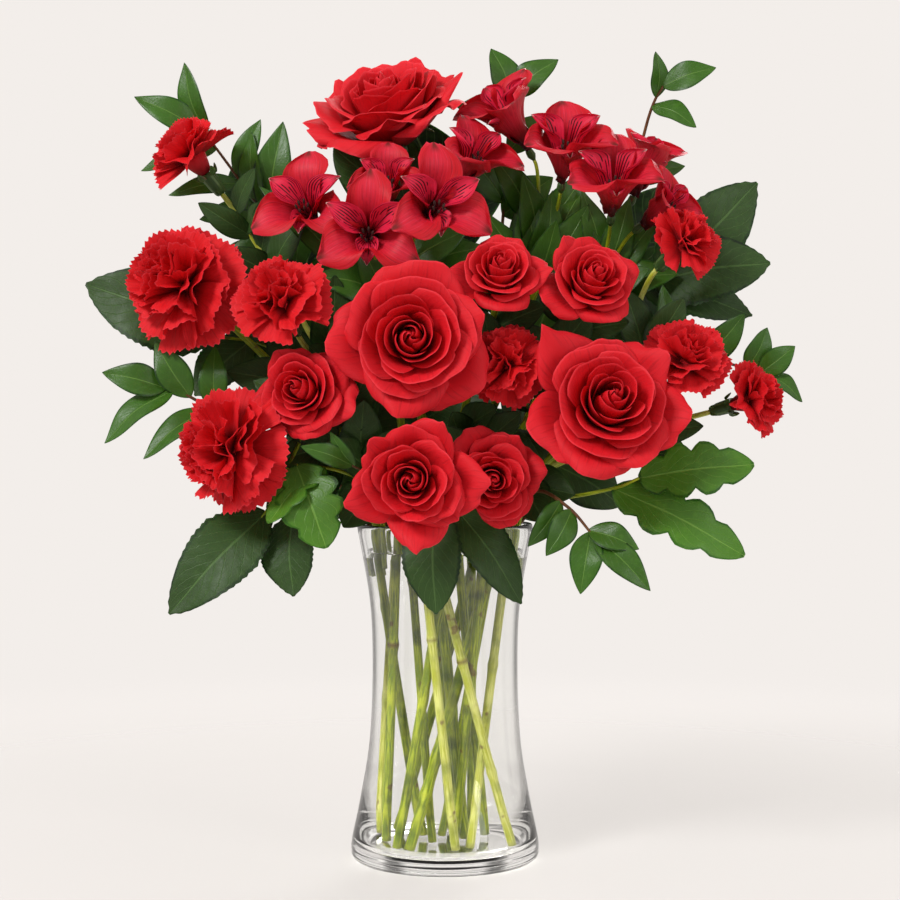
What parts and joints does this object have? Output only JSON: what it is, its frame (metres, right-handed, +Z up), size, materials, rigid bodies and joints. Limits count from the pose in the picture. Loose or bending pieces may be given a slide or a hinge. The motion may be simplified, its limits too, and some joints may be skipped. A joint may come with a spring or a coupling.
{
  "type": "mixed red flower bouquet in a glass vase",
  "caption": "Bouquet of red roses, carnations, mini carnations and alstroemeria with mixed leafy stems, standing in water in a clear waisted glass vase.",
  "frame": {"origin": "on the surface under the middle of the vase's flat foot", "axes": "+Z up the vase and bouquet, -Y towards the bouquet's front, +X to the right as seen from the front"},
  "size_m": [0.425, 0.2259, 0.492],
  "materials": {
    "glass": "clear polished glass",
    "water": "clear still water",
    "rose": "velvety petals",
    "carnation": "matt frilled petals",
    "alstroemeria": "satin petals with dark dashes",
    "flower_stem": "smooth green plant stem",
    "foliage": "satin green leaves"
  },
  "bodies": {
    "root": {"alstroemeria_left_a": "alstroemeria", "alstroemeria_left_b": "alstroemeria", "alstroemeria_left_c": "alstroemeria", "alstroemeria_left_d": "alstroemeria", "alstroemeria_left_e": "alstroemeria", "alstroemeria_left_stem": "flower_stem", "alstroemeria_right_a": "alstroemeria", "alstroemeria_right_b": "alstroemeria", "alstroemeria_right_c": "alstroemeria", "alstroemeria_right_stem": "flower_stem", "alstroemeria_top_a": "alstroemeria", "alstroemeria_top_b": "alstroemeria", "alstroemeria_top_stem": "flower_stem", "carnation_high_left": "carnation", "carnation_high_left_stem": "flower_stem", "carnation_left_stem": "flower_stem", "carnation_low_left": "carnation", "carnation_low_left_stem": "flower_stem", "carnation_mid_stem": "flower_stem", "carnation_mini_far_right": "carnation", "carnation_mini_high": "carnation", "carnation_mini_left": "carnation", "carnation_mini_mid": "carnation", "carnation_mini_right": "carnation", "carnation_mini_top_right": "carnation", "carnation_right_stem": "flower_stem", "foliage_back": "foliage", "foliage_back_left": "foliage", "foliage_back_right": "foliage", "leaf_stem_front_left": "foliage", "leaf_stem_high_left": "foliage", "leaf_stem_high_right": "foliage", "leaf_stem_right": "foliage", "rose_low_left": "rose", "rose_low_left_stem": "flower_stem", "rose_low_right": "rose", "rose_low_right_stem": "flower_stem", "rose_mid_left": "rose", "rose_mid_left_stem": "flower_stem", "rose_mid_right": "rose", "rose_mid_right_stem": "flower_stem", "rose_small_left": "rose", "rose_small_left_stem": "flower_stem", "rose_small_mid": "rose", "rose_small_mid_stem": "flower_stem", "rose_small_right": "rose", "rose_small_right_stem": "flower_stem", "rose_top": "rose", "rose_top_stem": "flower_stem", "sprig_front": "foliage", "sprig_left": "foliage", "sprig_low_right": "foliage", "sprig_right": "foliage", "sprig_top_centre": "foliage", "sprig_top_left": "foliage", "sprig_top_right": "foliage", "vase": "glass", "water": "water"}
  },
  "joints": []
}
